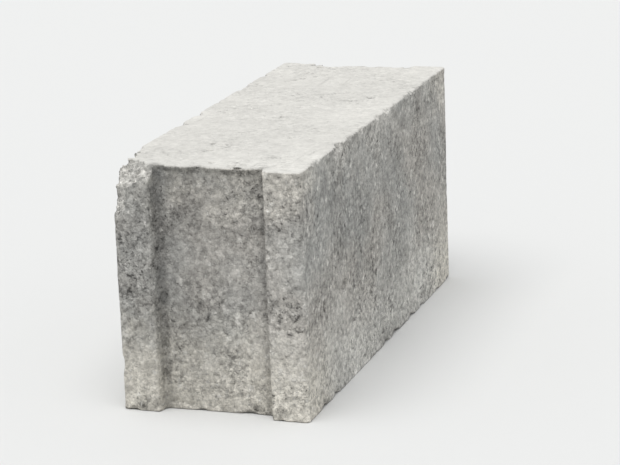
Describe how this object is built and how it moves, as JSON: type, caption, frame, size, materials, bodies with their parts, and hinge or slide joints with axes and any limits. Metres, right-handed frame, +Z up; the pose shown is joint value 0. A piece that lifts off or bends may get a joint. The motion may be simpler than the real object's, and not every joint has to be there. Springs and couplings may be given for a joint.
{
  "type": "concrete block",
  "caption": "Solid concrete masonry block, a plain upright slab with a wide shallow mortar key running the full height of each end between flat flanges.",
  "frame": {"origin": "middle of the underside, the bed that the block rests on", "axes": "+Y along the block's length, square to an end face; +X across its thickness, square to a long face; +Z up, square to the beds"},
  "size_m": [0.15, 0.4, 0.192],
  "materials": {
    "concrete": "rough, open-textured pressed concrete, dry and matt"
  },
  "bodies": {
    "root": {"block": "concrete"}
  },
  "joints": []
}
